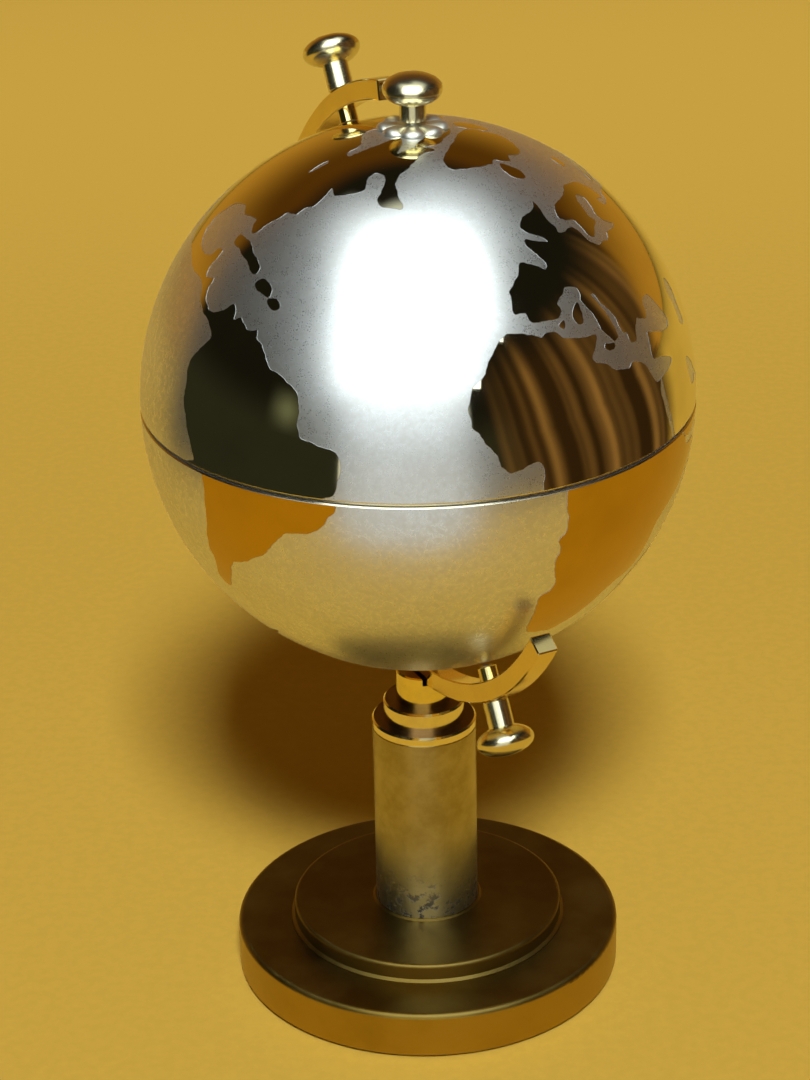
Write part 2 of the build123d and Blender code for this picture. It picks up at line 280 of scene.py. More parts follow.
def make_world():
    """A dim room as seen from the object: straw-coloured behind, wood at the right, a pale wall in front.
    It shows only in reflections; the camera sees a plain backdrop."""
    world = bpy.data.worlds.new("room")
    world.use_nodes = True
    n = Nodes(world.node_tree)
    at = n.add("ShaderNodeTexCoord").outputs["Generated"]
    x, y, z = n.split(at)
    height = n.math("DEGREES", n.math("ARCSINE", z))
    color, behind, azimuth = room_sides(n, x, y, height)

    def between(value, low, high, soft):
        above = n.ramp(value, low - soft, low + soft)
        below = n.ramp(value, high + soft, high - soft)
        return n.math("MULTIPLY", above, below)

    def spot(az_low, az_high, low, high, soft):
        return n.math("MULTIPLY", between(azimuth, az_low, az_high, soft), between(height, low, high, soft))

    straw = n.mix(n.ramp(height, 0, 38), rgb(0.42, 0.20, 0.02), rgb(0.09, 0.034, 0.003))
    sweep = n.math("MULTIPLY", n.ramp(behind, *SWEEP_SOFT), n.ramp(height, 56, 41))
    color = n.mix(sweep, color, straw)
    wall = n.mix(n.ramp(height, -24, 12), rgb(0.62, 0.64, 0.62), rgb(0.95, 1.02, 1.05))
    color = n.mix(spot(WALL_LEFT, WALL_RIGHT, -60, 34, 2), color, wall)
    color = n.mix(spot(-59, -50, 4, 12, 6), color, rgb(0.16, 0.17, 0.10))
    overhead = n.math("MAXIMUM", n.ramp(azimuth, -150, -135), n.ramp(height, 70, 78))
    overhead = n.math("MULTIPLY", overhead, n.ramp(height, 55, 66))
    color = n.mix(overhead, color, rgb(0.66, 0.71, 0.72))
    color = n.mix(n.add("ShaderNodeLightPath").outputs["Is Camera Ray"], color, BACKDROP)
    background = n.add("ShaderNodeBackground")
    n.feed(background.inputs["Color"], color)
    out = n.add("ShaderNodeOutputWorld")
    n.link(background.outputs[0], out.inputs["Surface"])
    world.cycles_visibility.diffuse = False
    bpy.context.scene.world = world


def area_light(name, at, facing, size, radiance, color):
    """A rectangular light of a given brightness. at is its middle, from the globe's middle."""
    data = bpy.data.lights.new(name, "AREA")
    data.shape = "RECTANGLE"
    data.size, data.size_y = size
    data.energy = radiance * math.pi * size[0] * size[1]
    data.color = color
    lamp = bpy.data.objects.new(name, data)
    lamp.location = CENTRE + at
    lamp.rotation_euler = facing.to_track_quat("-Z", "Y").to_euler()
    lamp.visible_camera = False
    bpy.context.scene.collection.objects.link(lamp)
    return lamp


def make_lights():
    """A window that leans back over the globe, dimmer at its top, which only glossy surfaces show.
    A lamp that casts the shadow and a straw-coloured glow, which light matt surfaces only."""
    foot = Vector((0.0, -0.62, 0.27))
    run = Vector((0.0, 0.56, 0.83)).normalized()
    facing = Vector((0.0, run.z, -run.y))
    white = (0.89, 0.97, 1.0)
    for name, start, length, left, right, radiance in (
        ("window_foot", 0.0, 0.24, -0.445, 0.30, 2.6),
        ("window", 0.24, 0.56, -0.435, 0.435, 2.6),
        ("window_head", 0.80, 0.30, -0.38, 0.38, 2.6),
        ("skylight", 1.10, 0.50, -0.45, 0.45, 0.85),
    ):
        middle = foot + run * (start + length / 2) + Vector(((left + right) / 2, 0, 0))
        area_light(name, middle, facing, (right - left, length), radiance, white).visible_diffuse = False
    side, up, distance = math.radians(4), math.radians(48), 5.0
    towards = Vector((math.sin(side) * math.cos(up), -math.cos(side) * math.cos(up), math.sin(up)))
    lamp = area_light("lamp", towards * distance, -towards, (0.95, 0.95), 76.0, (1.0, 0.97, 0.93))
    lamp.visible_glossy = False
    above, down = Vector((0, 0.3, 2.4)), Vector((0, 0, -1))
    glow = area_light("straw_glow", above, down, (3.0, 3.0), 0.36, (1.0, 0.50, 0.10))
    glow.visible_glossy = False


# ---- the map: outlines as (latitude, longitude) ----
# The Atlantic side follows this globe's own map, which is a few degrees off true geography.
# The Pacific side is true geography in plain outline.

NORTH_AMERICA = [
    (9.8, -77), (10.8, -79.1), (11.7, -80), (13.2, -80.8), (15.5, -80.9), (14.9, -82.6), (14.8, -83.6),
    (16, -84.3), (18.3, -84.2), (20.5, -84), (20, -86), (18.6, -87), (18, -90), (18.5, -94), (20, -97),
    (23, -98.5), (26, -98), (28, -96.5), (29.5, -94), (30, -90), (28.7, -87.3), (29.3, -84.5), (29.4, -82),
    (28.2, -81.3), (27, -80), (26.9, -79), (28, -78), (30.2, -77.2), (32.3, -75.8), (34.1, -74.8),
    (34.8, -72.2), (36.5, -71.8), (38, -70.2), (39.9, -69.9), (43.2, -70.4), (42.3, -67.8), (43.8, -64.7),
    (46, -61.9), (47.7, -63.2), (49.1, -64.8), (50.1, -64.8), (51.2, -64.2), (51.6, -61.7), (50.4, -59.6),
    (48.2, -57.7), (45, -55.3), (44.9, -52), (46.3, -48.5), (47.8, -51), (50.2, -55), (53, -57.4),
    (56, -57.9), (59, -59), (61.5, -60.3), (64.3, -57.5), (64.5, -61), (62, -66), (58.5, -67.5), (61, -71),
    (62.5, -76), (63, -86), (66, -86), (69.5, -82), (71, -92), (68, -100), (68.5, -110), (70, -125),
    (69.5, -135), (71, -156), (68.5, -166), (65, -167), (62, -165), (59, -160), (55, -163), (59, -153),
    (60.5, -146), (59, -138), (56, -132), (51, -128), (48.5, -124.5), (43, -124), (40, -124), (36.5, -121.8),
    (34, -119), (31.5, -116.5), (28, -114.5), (23, -110), (27, -111.8), (31, -114), (29, -112), (25.5, -109),
    (22, -105.8), (19.5, -105), (17, -101), (15.5, -95.5), (14, -91.3), (13.3, -84.1), (11.7, -82.4),
    (10, -80.7), (8.5, -77.2),
]
SOUTH_AMERICA = [
    (9.8, -77.5), (9.9, -75.2), (12.3, -72), (13.4, -71), (12.9, -69.7), (11, -69), (12, -67.6), (11.1, -66),
    (10.8, -63.7), (11.5, -62.2), (10.2, -61.5), (9.5, -59.8), (8.2, -58.4), (6.4, -56.3), (5.9, -53.5),
    (5.2, -51.2), (4.5, -49.2), (2.9, -47.6), (1.4, -46.7), (-0.6, -46.6), (-1.8, -46.1), (-3.5, -44.7),
    (-3.3, -42.4), (-3.3, -39.9), (-3.3, -37.6), (-4.2, -36.3), (-5.5, -35.5), (-6.9, -35.1), (-8.6, -35.2),
    (-11.4, -35.2), (-14.3, -38.6), (-16.3, -38.8), (-17.9, -39.9), (-19.3, -40), (-21.3, -41.1),
    (-22.8, -42.7), (-25.2, -47.8), (-27.6, -49.8), (-30, -51.2), (-33.4, -53.4), (-35.5, -56.3), (-37, -58),
    (-38.9, -61), (-39.7, -63), (-41.5, -64.5), (-44, -65.5), (-48, -68), (-49.8, -69.5), (-49.7, -71.5),
    (-47.5, -73), (-42, -71.5), (-40.2, -72.3), (-36.4, -71.9), (-31.8, -70.8), (-26.7, -70.8),
    (-23.8, -70.9), (-20.5, -71.5), (-18.9, -69.3), (-16.3, -70.4), (-14.4, -71.9), (-12, -73.1), (-8.6, -75),
    (-5, -75.5), (-2.5, -76.3), (-0.3, -76.1), (2.3, -74.7), (4.3, -73.5), (5.7, -72.8), (7.7, -75.6),
    (8.6, -77.3),
]
GREENLAND = [
    (61, -44.5), (62.5, -50), (67, -55), (70, -58), (74, -66), (78, -73), (81, -62), (82.5, -45), (82, -30),
    (80.5, -20), (78, -14), (75, -18), (73.3, -23.5), (71.5, -22), (69.3, -31), (68, -31), (66, -34),
    (63, -39.5),
]
EURASIA = [
    (32.7, -7), (33, -8.3), (34, -9.5), (33.3, -12), (36.5, -13.4), (37.3, -14.2), (39, -13.5), (41.5, -12.7),
    (44, -12.8), (44.4, -9.5), (44.5, -7), (44.4, -5.2), (45, -4.8), (45.8, -5.3), (47, -8), (48.7, -12),
    (49.8, -12), (50.2, -8.5), (50.8, -4.5), (51.4, -5.5), (51.5, -8), (51.6, -11), (52.3, -14), (54.5, -14),
    (56, -12.5), (57.7, -10), (60.3, -9.6), (58.5, -6.7), (56.5, -4.5), (55, -1.3), (54, -0.5), (54.5, 1.5),
    (56, 4.5), (56.2, 6.3), (55.5, 8.8), (54, 11.5), (53.3, 15.5), (54.5, 19.5), (55.3, 22.3), (56.8, 23.5),
    (58, 27), (59.2, 31), (60.3, 24.5), (61.5, 22.5), (63.5, 22.5), (65.5, 21.5), (66, 17), (64.5, 15),
    (62.5, 16), (60.8, 17), (59.3, 19.8), (58, 17.5), (56.5, 16.5), (55.2, 15.5), (55.3, 12.5), (57.3, 10),
    (58.3, 7), (57.7, 4.3), (57.8, 0.7), (59, 0), (61.5, 1), (64, 5.5), (67.5, 10), (70, 20), (70.5, 28),
    (69, 36), (66.5, 40), (66, 33), (64.5, 36), (66, 43), (68, 46), (69, 60), (72.5, 68), (73, 80), (76, 95),
    (77.5, 104), (74, 112), (73.5, 125), (71.5, 130), (72.5, 140), (70, 160), (69.5, 170), (66.5, -171),
    (64.5, -178), (62, 178), (60, 167), (57, 163), (52, 157.5), (57, 155.5), (61.5, 160), (59.5, 150),
    (58.5, 142), (54, 137), (49, 140.5), (43, 132.5), (39.5, 127.5), (35.5, 129.5), (34.8, 126.3), (38, 125),
    (40, 122), (38.5, 117.8), (37, 122), (34.5, 119.5), (31, 122), (27, 120.3), (22.5, 115), (21.5, 109),
    (18, 106.5), (13, 109.3), (9, 105), (13.3, 100.5), (8, 99.8), (4, 103.3), (1.4, 104), (3, 101), (8, 98.3),
    (14, 98), (16.5, 95), (20, 92.8), (22, 90.5), (20.5, 87), (16, 81.5), (10.5, 79.8), (8, 77.5), (12, 75),
    (18, 73), (21.5, 72.5), (21.5, 69), (24.5, 67), (25.3, 60), (27, 56.5), (30, 50.5), (30, 48.3), (26.5, 50),
    (24.2, 52), (24.5, 54.5), (26, 56.3), (22.5, 59.7), (18.5, 57), (16.5, 53), (13.5, 46), (13, 42),
    (16, 39.5), (20, 36.5), (24.3, 33.5), (26.5, 32.5), (25.6, 31.2), (27.5, 34), (30.3, 38.3), (31, 36.5),
    (30.7, 31.5), (30.5, 29.2), (32.3, 28.5), (34.3, 28.3), (35.6, 28), (35.8, 30), (36, 34), (36.7, 39.3),
    (37.8, 40.5), (40, 38.5), (42.3, 35), (43.3, 32.5), (43, 30.3), (41.5, 28.7), (40, 29.2), (38.6, 28.6),
    (38.3, 26.5), (38.3, 24.6), (36, 23.2), (34, 23.2), (33.2, 22), (33.3, 20.8), (34.8, 19.5), (34.9, 18.3),
    (35.8, 17.6), (37.7, 16.2), (39, 14.2), (40.4, 11.6), (41.7, 9.5), (41.2, 9), (40.2, 10.8), (38.7, 12.7),
    (37, 14.7), (35.5, 15.8), (34, 16.8), (32.9, 15.6), (33.5, 14.2), (34.8, 11.5), (36.3, 10.3), (38, 8.4),
    (39.1, 6.6), (40, 5.1), (41, 5.1), (42.1, 4.3), (41.7, 0.6), (40.7, 0), (37.7, -1.5), (36.8, -0.5),
    (35.2, -1), (34.3, -3), (33.2, -5.5),
]
AFRICA = [
    (29, -12.8), (29.5, -10.5), (30.3, -7), (30.3, -4.6), (31, -4), (31.9, -2.6), (32.2, -1), (31.4, 0.4),
    (31.9, 4), (33.2, 8.3), (33.5, 9.7), (32.7, 10), (30.5, 9.2), (28.5, 9), (28.2, 10), (28.2, 13),
    (27.5, 14.8), (27.8, 18.3), (28.3, 20), (29.2, 21), (29.5, 22.5), (29, 26.3), (27.3, 28.2), (25.7, 30.3),
    (26.2, 32), (24.6, 31.9), (20, 34.5), (16.5, 37.3), (14, 39.5), (12.5, 42.5), (11.3, 44), (11.8, 51),
    (8, 49.8), (2, 45.5), (-4.5, 39.5), (-10.5, 40.3), (-15.5, 40.5), (-20, 35), (-25.5, 32.8), (-29.5, 31),
    (-33.5, 27), (-34.2, 22), (-34.3, 18.8), (-32, 16.2), (-28.5, 14.5), (-25, 12.4), (-22.8, 11.7),
    (-21.3, 13), (-19.5, 13.2), (-15.9, 10.3), (-13.8, 9.3), (-11.3, 8.9), (-9.3, 7.4), (-7.4, 8), (-4, 7.1),
    (-2.5, 6), (1.5, 4.4), (2.4, 3.6), (5.3, 2.7), (6.8, 1.6), (7.1, 0.5), (6.2, -0.9), (4.8, -2.8),
    (3.7, -4.1), (4.5, -6), (6.3, -8.2), (8, -10.6), (9.4, -12.6), (10, -14.2), (11.5, -15), (13, -16),
    (16.5, -16.6), (18.5, -16), (20.3, -15), (21.5, -15.2), (24, -14.7), (26.8, -13.8),
]
AUSTRALIA = [
    (-11, 142.5), (-17.5, 140.8), (-15, 136), (-12, 136.5), (-11.5, 132), (-15, 129), (-18, 122.5),
    (-21.5, 115), (-26, 113.3), (-33, 115.5), (-35, 118), (-33.8, 123.5), (-31.7, 131), (-35, 137),
    (-38.5, 141), (-39, 146.3), (-37.5, 150), (-32.5, 152.8), (-27, 153.3), (-22.5, 150.5), (-18.5, 146.2),
    (-14.5, 144.5),
]
ANTARCTICA = [
    (-78, -175), (-76.5, -150), (-74.5, -125), (-73, -100), (-73, -78), (-67.5, -67), (-63.5, -57), (-68, -62),
    (-76, -60), (-77, -35), (-71.5, -12), (-69.5, 10), (-69, 35), (-66.5, 50), (-69, 75), (-66, 95),
    (-66.5, 115), (-67, 140), (-71, 168), (-77.5, 165),
]
ISLANDS = [
    [(23.5, -82.9), (25.1, -82.5), (25.4, -79.7), (25.2, -77.3), (23.7, -74.5), (22, -70.3), (20.3, -70),
     (20.4, -71.6), (22.1, -75.8), (22.8, -79.5)],
    [(18.7, -68.7), (19.9, -68.2), (20.6, -67.1), (19.5, -64.1), (18, -63.4), (18, -65.9)],
    [(17.6, -63.5), (18.4, -61.6), (17.1, -59.8), (16.2, -60.6), (16.6, -62.5)],
    [(69, -27), (67.5, -25), (66, -19), (66.2, -15), (67.5, -13), (68.8, -15), (69.3, -19.5), (69.5, -25)],
    [(62.5, -66), (66.5, -61.5), (70, -65), (73.5, -72), (73.8, -81), (70, -83), (67, -72)],
    [(76.8, -80), (79, -72), (82.3, -66), (82.6, -85), (80, -96), (77, -92)],
    [(70.5, -96), (73.5, -96), (75.5, -110), (74.5, -121), (71, -121), (69.8, -108)],
    [(78.8, 25), (79, 33), (77, 37), (75.8, 31), (76.8, 26)],
    [(71, 52), (73.5, 55), (76.5, 65), (76.8, 69), (73, 58.5), (71, 57)],
    [(39.2, 3.9), (38.2, 5.2), (36.3, 6), (35.2, 5.9), (34.8, 4.6), (35.6, 3.3), (36.9, 2.9), (38.4, 3.2)],
    [(34.9, 0.1), (34.1, 0.9), (33.3, 0.6), (33.6, -0.8)],
    [(32.3, 12.4), (31.4, 12.3), (31, 13.8), (31.6, 15.6), (32.5, 15.7), (32.4, 14)],
    [(-12, 49.3), (-16, 50.3), (-25, 47), (-25.3, 44.5), (-21.5, 43.4), (-16.3, 44.3)],
    [(9.7, 80.2), (7, 81.8), (6, 80.5), (8, 79.8)],
    [(33.5, 131), (34, 135.5), (35, 140), (38, 141), (41.3, 141.3), (43.3, 145.3), (45.3, 142), (43, 140.5),
     (40.5, 139.8), (37.2, 137), (35.5, 134), (34.3, 131)],
    [(46, 142.5), (50, 144.5), (54.2, 143), (51, 142)],
    [(18.5, 121), (18, 122.3), (14.5, 121.8), (12.8, 124), (13.8, 120.8), (16.2, 119.8)],
    [(9.5, 125.8), (6.3, 126), (6, 124.3), (7.5, 122.2), (8.8, 123.8)],
    [(7, 117), (4.3, 118), (1, 119), (-3.5, 116.2), (-3.3, 111.5), (1.5, 109.2), (4.5, 114)],
    [(5.6, 95.4), (4, 98.5), (0, 103.6), (-3.5, 106), (-5.8, 105.6), (-3.5, 102), (1.5, 98.6)],
    [(-6.2, 105.5), (-6.4, 110.5), (-7.6, 114.4), (-8.7, 114.2), (-8, 108.5), (-7.2, 105.7)],
    [(1.3, 125), (0.4, 120.3), (-2.5, 119), (-5.4, 119.8), (-3, 121.2), (-4.5, 122.7), (-1, 121.5), (0, 124)],
    [(-0.8, 131.3), (-3.3, 135.3), (-2, 138.5), (-5.5, 145.5), (-8.5, 148), (-10.4, 150.7), (-8, 145),
     (-8.2, 139), (-4.5, 136), (-3, 132.5)],
    [(-34.5, 172.8), (-37.6, 178.2), (-41.4, 175.2), (-39.4, 173.8), (-37.5, 174.8)],
    [(-40.8, 172.8), (-42, 174), (-46, 170.7), (-46.4, 167), (-43, 170.6)],
    [(-40.8, 144.8), (-40.9, 148.2), (-43.5, 147)],
]
LANDS = [NORTH_AMERICA, SOUTH_AMERICA, GREENLAND, EURASIA, AFRICA, AUSTRALIA, ANTARCTICA] + ISLANDS
WATERS = [
    [(62, -79), (58.5, -78), (55, -78.5), (51.5, -79.5), (52, -82), (55, -83), (57, -89), (59, -94),
     (62.5, -92.5), (64.5, -87), (63.5, -81)],
    [(43.3, -82.8), (45, -82), (47.5, -81.8), (48, -83), (46.5, -83.3), (44.8, -83.5)],
    [(46.5, 50), (45, 53), (41, 53), (37, 53.8), (37, 50), (41, 48.8), (44, 47)],
]

# The map's north pole leans towards the right, and the two halves don't quite meet: the bowl is turned.
MAP_PLACE = (Matrix.Rotation(math.radians(21), 3, "Z") @ Matrix.Rotation(math.radians(22), 3, "Y")
             @ Matrix.Rotation(math.radians(-91), 3, "Z"))
BOWL_TURN = math.radians(5)

GLOBE_R = 50.0
WALL = 1.0
ETCH_DEPTH = 0.05
EDGE_WIDTH = 0.06
SEAM_HALF = 0.15
COAST_STEP = math.radians(0.45)
WIGGLE = math.radians(0.30)
SURFACE_STEP = 1.5
RIM_POINTS, HOLE_POINTS = 720, 96
RIM_BEVEL = 0.30
LID_INSET = 0.02        # the lid's rim stands back from the bowl's
OVER_SEAM = 0.02        # an outline that rises less than this over the seam is left out of the half
FAR_POLE = -0.97        # so is one that comes this near the far pole
GROUND, LAND, SIDE, RIM = range(4)  # the shell's material slots
noise.seed_set(1)       # unseeded, noise_vector starts from the clock and each run's coasts differ


def on_sphere(latitude, longitude):
    la, lo = math.radians(latitude), math.radians(longitude)
    return Vector((math.cos(la) * math.cos(lo), math.cos(la) * math.sin(lo), math.sin(la)))


def rounded(points):
    """A closed smooth line through the points on the unit sphere, in short steps."""
    line = []
    count = len(points)
    for i in range(count):
        a, b, c, d = (points[(i + k - 1) % count] for k in range(4))
        knots = [0.0]
        for p, q in ((a, b), (b, c), (c, d)):
            knots.append(knots[-1] + max((q - p).length, 1e-6) ** 0.5)
        t0, t1, t2, t3 = knots
        steps = max(1, math.ceil((c - b).length / COAST_STEP))
        for s in range(steps):
            t = t1 + (t2 - t1) * s / steps
            e = a.lerp(b, (t - t0) / (t1 - t0))
            f = b.lerp(c, (t - t1) / (t2 - t1))
            g = c.lerp(d, (t - t2) / (t3 - t2))
            h = e.lerp(f, (t - t0) / (t2 - t0))
            k = f.lerp(g, (t - t1) / (t3 - t1))
            line.append(h.lerp(k, (t - t1) / (t2 - t1)).normalized())
    return line


def coastline(outline):
    """The outline's smooth line with small bays and points, in the globe's own directions."""
    line = []
    for p in rounded([on_sphere(*point) for point in outline]):
        shift = noise.noise_vector(p * 22.0) + 0.6 * noise.noise_vector(p * 55.0)
        line.append((p + shift * WIGGLE).normalized())
    return line


def inside(polygon, points):
    """Which 2-D points are inside the closed 2-D polygon, as an array of booleans."""
    x, y = points[:, 0][:, None], points[:, 1][:, None]
    x0, y0 = polygon[:, 0][None], polygon[:, 1][None]
    x1, y1 = np.roll(polygon[:, 0], -1)[None], np.roll(polygon[:, 1], -1)[None]
    hit = np.zeros(len(points), bool)
    near = ((points >= polygon.min(0)) & (points <= polygon.max(0))).all(1)
    for part in np.array_split(np.flatnonzero(near), max(1, near.sum() // 2000)):
        px, py = x[part], y[part]
        crosses = (y0 > py) != (y1 > py)
        with np.errstate(divide="ignore", invalid="ignore"):
            at = x0 + (py - y0) * (x1 - x0) / (y1 - y0)
        hit[part] = (crosses & (px < at)).sum(1) % 2 == 1
    return hit


def spread_points(step):
    """Evenly spread unit vectors over the half above the equator, about step apart on the globe."""
    count = int(2 * 4 * math.pi * GLOBE_R**2 / (step * step * math.sqrt(3)))
    turn = math.pi * (3 - math.sqrt(5))
    i = np.arange(count)
    z = 1 - (2 * i + 1) / count
    keep = z > 0
    i, z = i[keep], z[keep]
    r = np.sqrt(1 - z * z)
    return np.stack([r * np.cos(i * turn), r * np.sin(i * turn), z], 1)


def circle(radius, count):
    a = np.arange(count) * 2 * math.pi / count
    return np.stack([radius * np.cos(a), radius * np.sin(a)], 1)


def zip_loops(outer, inner, angle):
    """Triangles between two closed rings of vertex numbers, each in order of angle."""
    faces = []
    i = j = 0
    while i < len(outer) or j < len(inner):
        a, b = outer[i % len(outer)], inner[j % len(inner)]
        next_outer = angle[outer[(i + 1) % len(outer)]] + 2 * math.pi * ((i + 1) // len(outer))
        next_inner = angle[inner[(j + 1) % len(inner)]] + 2 * math.pi * ((j + 1) // len(inner))
        if j >= len(inner) or (i < len(outer) and next_outer <= next_inner):
            faces.append((a, outer[(i + 1) % len(outer)], b))
            i += 1
        else:
            faces.append((a, inner[(j + 1) % len(inner)], b))
            j += 1
    return faces


def half_shell(name, up, turn, rim_band, hole):
    """One etched half globe. up is 1 for the upper half and -1 for the lower; lengths are in mm."""
    place = Matrix.Rotation(turn, 3, "Z") @ MAP_PLACE
    flip = np.array((1.0, 1.0, up))

    def flat(directions):
        """Stereographic view from the far pole: the half becomes the disc inside radius 1."""
        d = np.asarray(directions, float) * flip
        return d[:, :2] / (1 + d[:, 2:3])

    def flat_radius(height):
        s = height / GLOBE_R
        return math.sqrt(1 - s * s) / (1 + s)

    rim = flat_radius(rim_band)
    hole_flat = math.tan(math.asin(hole / GLOBE_R) / 2)
    points, edges, lands, waters = [], [], [], []

    def add_ring(ring):
        start = sum(len(p) for p in points)
        points.append(ring)
        edges.extend((start + i, start + (i + 1) % len(ring)) for i in range(len(ring)))

    add_ring(circle(rim, RIM_POINTS))
    add_ring(circle(hole_flat, HOLE_POINTS))
    verges = []
    for outline in LANDS + WATERS:
        line = np.array([place @ p for p in coastline(outline)])
        height = line[:, 2] * up
        if height.max() < OVER_SEAM or height.min() < FAR_POLE:
            continue
        ring = flat(line)
        add_ring(ring)
        (lands if outline in LANDS else waters).append(ring)
        ahead = np.roll(line, -1, 0) - np.roll(line, 1, 0)
        side = np.cross(line, ahead)
        side /= np.linalg.norm(side, axis=1)[:, None]
        for s in (EDGE_WIDTH / GLOBE_R, -EDGE_WIDTH / GLOBE_R):
            verges.append(flat(line + side * s))

    def is_land(p):
        land = np.zeros(len(p), bool)
        for ring in lands:
            land |= inside(ring, p)
        for ring in waters:
            land &= ~inside(ring, p)
        return land

    def in_disc(p, low=0.0, high=0.0):
        r = np.hypot(p[:, 0], p[:, 1])
        return (r > hole_flat + low) & (r < rim - high)

    verge = np.concatenate(verges)
    verge = verge[in_disc(verge, 0.002, 0.002)]
    verge = verge[~is_land(verge)]
    body = flat(spread_points(SURFACE_STEP) * flip)
    body = body[in_disc(body, 0.003, 0.004)]
    free = np.concatenate([verge, body])
    all_points = np.concatenate(points + [free])
    out = delaunay_2d_cdt([Vector(p) for p in all_points], edges, [], 0, 1e-7)
    p2 = np.array([v[:] for v in out[0]], float)
    tris = np.array(out[2], int)
    mid = p2[tris].mean(1)
    tris = tris[in_disc(mid)]
    land = is_land(p2[tris].mean(1))

    used = np.zeros(len(p2), bool)
    used[tris.ravel()] = True
    in_land = np.zeros(len(p2), bool)
    in_land[tris[land].ravel()] = True
    q = (p2**2).sum(1)
    direction = np.stack([2 * p2[:, 0], 2 * p2[:, 1], 1 - q], 1) / (1 + q)[:, None]
    direction *= flip
    radius = np.where(in_land, GLOBE_R, GLOBE_R - ETCH_DEPTH)
    coords = direction * radius[:, None]
    edge = ~land & in_land[tris].any(1)

    number = np.cumsum(used) - 1
    coords = coords[used]
    tris = number[tris]
    if up < 0:
        tris = tris[:, ::-1]
    verts = [tuple(c) for c in coords]
    faces = [tuple(t) for t in tris]
    kinds = [LAND if a else (SIDE if b else GROUND) for a, b in zip(land, edge)]
    normals = []
    for t, kind in zip(faces, kinds):
        if kind == SIDE:
            a, b, c = (coords[i] for i in t)
            normal = np.cross(b - a, c - a)
            normals += [normal / max(np.linalg.norm(normal), 1e-12)] * 3
        else:
            normals += [coords[i] / np.linalg.norm(coords[i]) for i in t]

    angle = {}

    def ring_of(test):
        found = [i for i in range(len(coords)) if test(i)]
        for i in found:
            angle[i] = math.atan2(verts[i][1], verts[i][0]) % (2 * math.pi)
        return sorted(found, key=angle.get)

    flat_of = flat(coords / np.linalg.norm(coords, axis=1)[:, None])
    flat_r = np.hypot(flat_of[:, 0], flat_of[:, 1])
    outer = ring_of(lambda i: abs(flat_r[i] - rim) < 2e-5)
    inner = ring_of(lambda i: abs(flat_r[i] - hole_flat) < 2e-5)

    def add_face(face, kind, face_normals):
        if up < 0:
            face, face_normals = face[::-1], face_normals[::-1]
        faces.append(face)
        kinds.append(kind)
        normals.extend(face_normals)

    def copy_ring(ring, r, z):
        """The ring's vertices again at another radius and height, given as one pair for all of them."""
        made = []
        for i in ring:
            a = angle[i]
            verts.append((r * math.cos(a), r * math.sin(a), up * z))
            angle[len(verts) - 1] = a
            made.append(len(verts) - 1)
        return made

    def band(ring_a, ring_b, kind, normal):
        """Quads from ring_a down to ring_b. normal is (outward, upward)."""
        outward, upward = normal
        for i in range(len(ring_a)):
            j = (i + 1) % len(ring_a)
            quad = (ring_a[i], ring_b[i], ring_b[j], ring_a[j])
            spot = [(outward * math.cos(angle[k]), outward * math.sin(angle[k]), up * upward) for k in quad]
            add_face(quad, kind, spot)

    # rim: a narrow bevel, then the flat edge of the wall
    r_rim = math.sqrt(GLOBE_R**2 - rim_band**2) - (LID_INSET if up > 0 else 0.0)
    r_foot = r_rim - RIM_BEVEL
    slope = Vector((rim_band - SEAM_HALF, -(r_rim - r_foot))).normalized()
    foot = copy_ring(outer, r_foot, SEAM_HALF)
    band(outer, foot, RIM, slope)
    # inside: a smooth bowl from the rim to the hole
    inside_r = GLOBE_R - WALL
    segments = 96
    rows = 28
    start = math.asin(SEAM_HALF / inside_r)
    stop = math.acos(hole / inside_r)
    first = [len(verts) + k for k in range(segments)]
    row_numbers = []
    for row in range(rows + 1):
        e = start + (stop - start) * row / rows
        ring = []
        for k in range(segments):
            a = 2 * math.pi * k / segments
            verts.append((inside_r * math.cos(e) * math.cos(a), inside_r * math.cos(e) * math.sin(a),
                          up * inside_r * math.sin(e)))
            angle[len(verts) - 1] = a
            ring.append(len(verts) - 1)
        row_numbers.append(ring)
    for face in zip_loops(foot, first, angle):
        add_face(face[::-1], GROUND, [(0, 0, -up)] * 3)
    for low, high in zip(row_numbers, row_numbers[1:]):
        for i in range(segments):
            j = (i + 1) % segments
            quad = (low[i], high[i], high[j], low[j])
            add_face(quad, GROUND, [tuple(-Vector(verts[k]).normalized()) for k in quad])
    last = row_numbers[-1]
    for face in zip_loops(inner, last, angle):
        spot = [(-math.cos(angle[k]), -math.sin(angle[k]), 0.0) for k in face]
        add_face(face, GROUND, spot)

    mesh = bpy.data.meshes.new(name)
    mesh.from_pydata([tuple(c * MM for c in v) for v in verts], [], faces)
    mesh.polygons.foreach_set("material_index", kinds)
    mesh.polygons.foreach_set("use_smooth", [True] * len(faces))
    mesh.normals_split_custom_set([Vector(v) for v in normals])
    mesh.transform(Matrix.Translation(CENTRE))
    mesh.update()
    shell = bpy.data.objects.new(name, mesh)
    bpy.context.scene.collection.objects.link(shell)
    return shell


# ---- materials ----

ETCHED_SHADES = (0.80, 0.825, 0.815), (0.745, 0.755, 0.725), (0.715, 0.725, 0.695)


